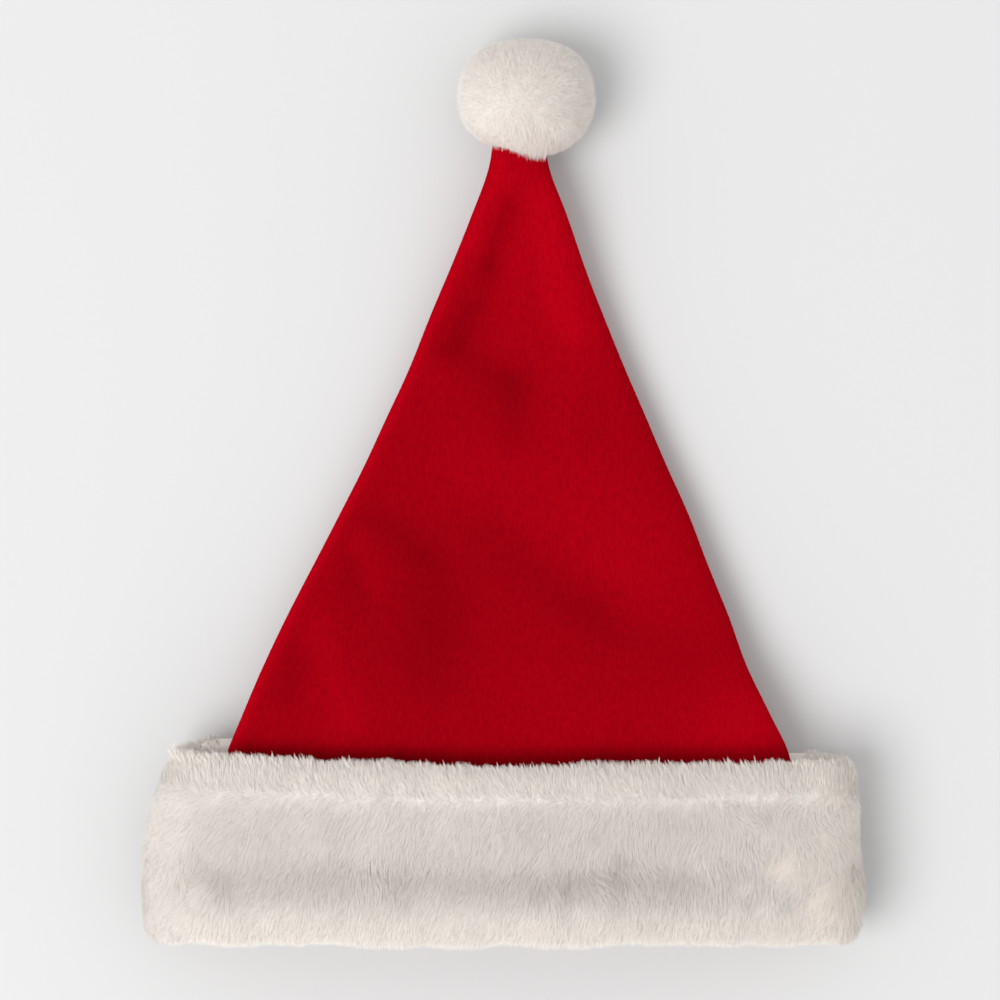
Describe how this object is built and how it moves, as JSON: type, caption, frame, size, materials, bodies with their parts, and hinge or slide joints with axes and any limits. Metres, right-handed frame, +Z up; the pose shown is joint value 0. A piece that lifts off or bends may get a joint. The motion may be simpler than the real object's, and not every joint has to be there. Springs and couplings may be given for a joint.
{
  "type": "santa hat",
  "caption": "Soft red plush cone hat lying on its back, with a turned-up white faux-fur cuff round its open rim and a fur pompom on its tip.",
  "frame": {"origin": "on the surface the hat lies on, under the middle of its outline seen from above", "axes": "+Y runs from the open rim to the pompom, +Z is up off the surface, and +X runs across the hat"},
  "size_m": [0.339, 0.427, 0.0657],
  "materials": {
    "red_plush": "short-pile plush",
    "cuff_fur": "faux fur",
    "pompom_fur": "faux fur"
  },
  "bodies": {
    "root": {"crown": "red_plush", "fur_cuff": "cuff_fur", "pompom": "pompom_fur"}
  },
  "joints": []
}
